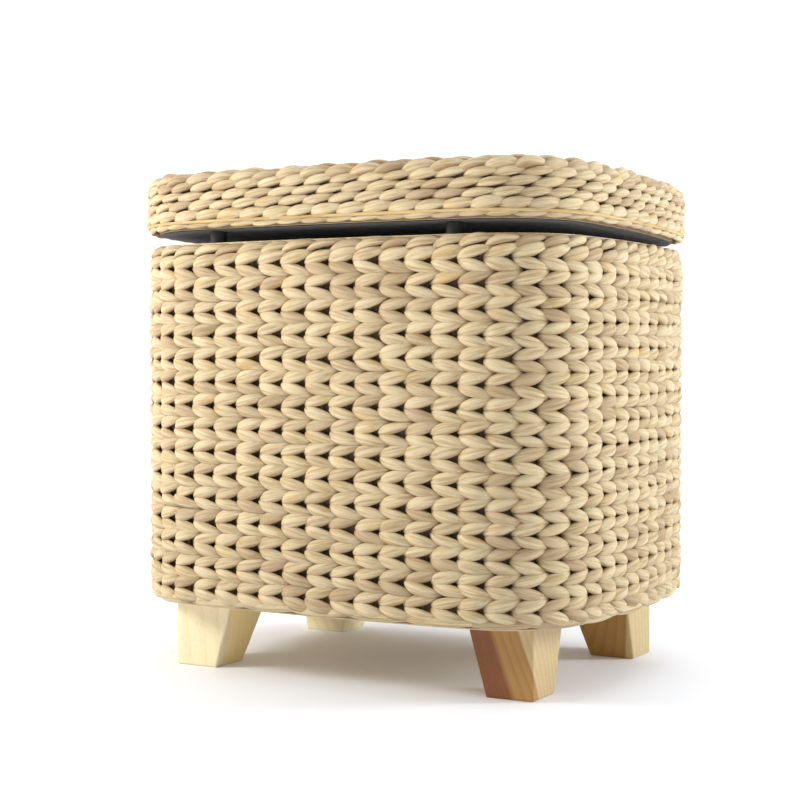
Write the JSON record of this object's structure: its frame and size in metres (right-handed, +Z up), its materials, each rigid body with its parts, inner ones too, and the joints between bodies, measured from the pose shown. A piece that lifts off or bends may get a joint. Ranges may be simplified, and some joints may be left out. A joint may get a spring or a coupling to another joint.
{
  "type": "storage ottoman",
  "caption": "Rectangular woven straw storage stool with rounded corners, a hinged cushion-topped lid, a cloth-lined hollow and tapered wooden feet.",
  "frame": {"origin": "on the floor, under the middle of the body's plan", "axes": "+Z up; the front faces -Y and the lid's hinges are at the rear, +Y; +X is to the right seen from the front, along the body's width"},
  "size_m": [0.37, 0.3008, 0.3598],
  "materials": {
    "plaited_straw": "plaited dry leaf straw, matt with a faint sheen, pale cream to tan",
    "foot_wood": "planed light hardwood with darker streaks, thin satin lacquer",
    "plywood": "bare birch plywood, sanded",
    "batten_wood": "bare planed softwood",
    "bag_cloth": "plain woven cotton cloth, undyed",
    "lining_cloth": "black-grey non-woven cloth",
    "foam": "soft open-cell foam",
    "bumper_rubber": "matt black rubber",
    "hinge_steel": "zinc-plated steel strip",
    "screw_steel": "zinc-plated steel"
  },
  "bodies": {
    "base": {"woven_body": "plaited_straw", "base_board": "plywood", "top_ring": "plywood", "corner_post_front_left": "batten_wood", "corner_post_front_right": "batten_wood", "corner_post_rear_left": "batten_wood", "corner_post_rear_right": "batten_wood", "foot_front_left": "foot_wood", "foot_front_right": "foot_wood", "foot_rear_left": "foot_wood", "foot_rear_right": "foot_wood", "foot_screws": "screw_steel", "post_screws_lower": "screw_steel", "post_screws_upper": "screw_steel", "liner": "bag_cloth", "liner_staples": "screw_steel", "lid_bumpers": "bumper_rubber", "hinge_body_leaf_left": "hinge_steel", "hinge_body_leaf_right": "hinge_steel", "hinge_body_screws": "screw_steel", "hinge_pin_left": "hinge_steel", "hinge_pin_right": "hinge_steel"},
    "lid": {"woven_lid": "plaited_straw", "lid_board": "plywood", "lid_ring": "plywood", "seat_foam": "foam", "lid_lining": "lining_cloth", "lid_ring_screws": "screw_steel", "hinge_lid_leaf_left": "hinge_steel", "hinge_lid_leaf_right": "hinge_steel", "hinge_lid_screws": "screw_steel"}
  },
  "joints": [
    {"name": "lid_hinge", "type": "hinge", "parent": "base", "child": "lid", "pos_m": [0, 0.15, 0.3103], "axis": [-1, 0, 0], "range_deg": [0, 100]}
  ]
}
